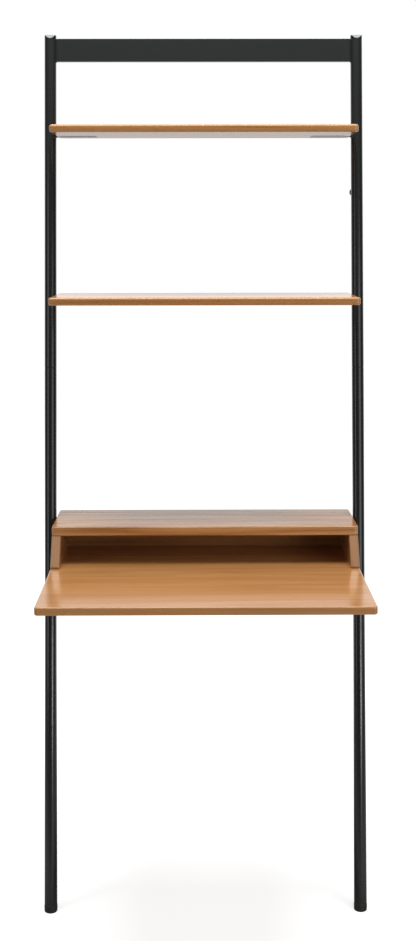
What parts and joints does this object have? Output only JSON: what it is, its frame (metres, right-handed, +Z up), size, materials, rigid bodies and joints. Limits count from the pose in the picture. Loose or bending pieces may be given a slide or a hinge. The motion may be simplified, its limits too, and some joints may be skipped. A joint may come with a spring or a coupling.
{
  "type": "ladder desk",
  "caption": "Tall narrow desk that leans on a wall: slanting steel rails with a flat top bar carry small wood shelves, an open cubby with raked sides and a deep desk board.",
  "frame": {"origin": "on the floor, midway between the two rails and midway between the desk board's front edge and the wall", "axes": "+X to the right of a person sitting at the desk, +Y towards the wall, +Z up"},
  "size_m": [0.683, 0.6516, 1.83],
  "materials": {
    "graphite_paint": "satin graphite powder coat",
    "walnut_veneer": "satin lacquer over medium brown veneer",
    "cap_plastic": "glossy black",
    "foot_rubber": "matt black",
    "bare_steel": "zinc plated",
    "dark_screws": "black oxide",
    "beech_dowel": "raw"
  },
  "bodies": {
    "root": {"left_lower_tube": "graphite_paint", "right_lower_tube": "graphite_paint", "left_upper_tube": "graphite_paint", "right_upper_tube": "graphite_paint", "left_joint_sleeve": "bare_steel", "right_joint_sleeve": "bare_steel", "joint_grub_screws": "dark_screws", "left_top_cap": "cap_plastic", "right_top_cap": "cap_plastic", "left_foot_cap": "foot_rubber", "right_foot_cap": "foot_rubber", "crossbar": "graphite_paint", "upper_shelf": "walnut_veneer", "middle_shelf": "walnut_veneer", "upper_shelf_left_tab": "graphite_paint", "upper_shelf_right_tab": "graphite_paint", "middle_shelf_left_tab": "graphite_paint", "middle_shelf_right_tab": "graphite_paint", "shelf_screws": "dark_screws", "desk_top": "walnut_veneer", "left_desk_bracket": "graphite_paint", "right_desk_bracket": "graphite_paint", "desk_board_screws": "dark_screws", "desk_bracket_bolts": "dark_screws", "rail_rivet_nuts": "bare_steel", "cubby_top": "walnut_veneer", "cubby_left_side": "walnut_veneer", "cubby_right_side": "walnut_veneer", "cubby_back": "walnut_veneer", "cubby_dowels": "beech_dowel", "cubby_base_screws": "dark_screws", "cubby_back_screws": "dark_screws", "cubby_rail_bolts": "dark_screws", "wall_spacer": "graphite_paint"}
  },
  "joints": []
}
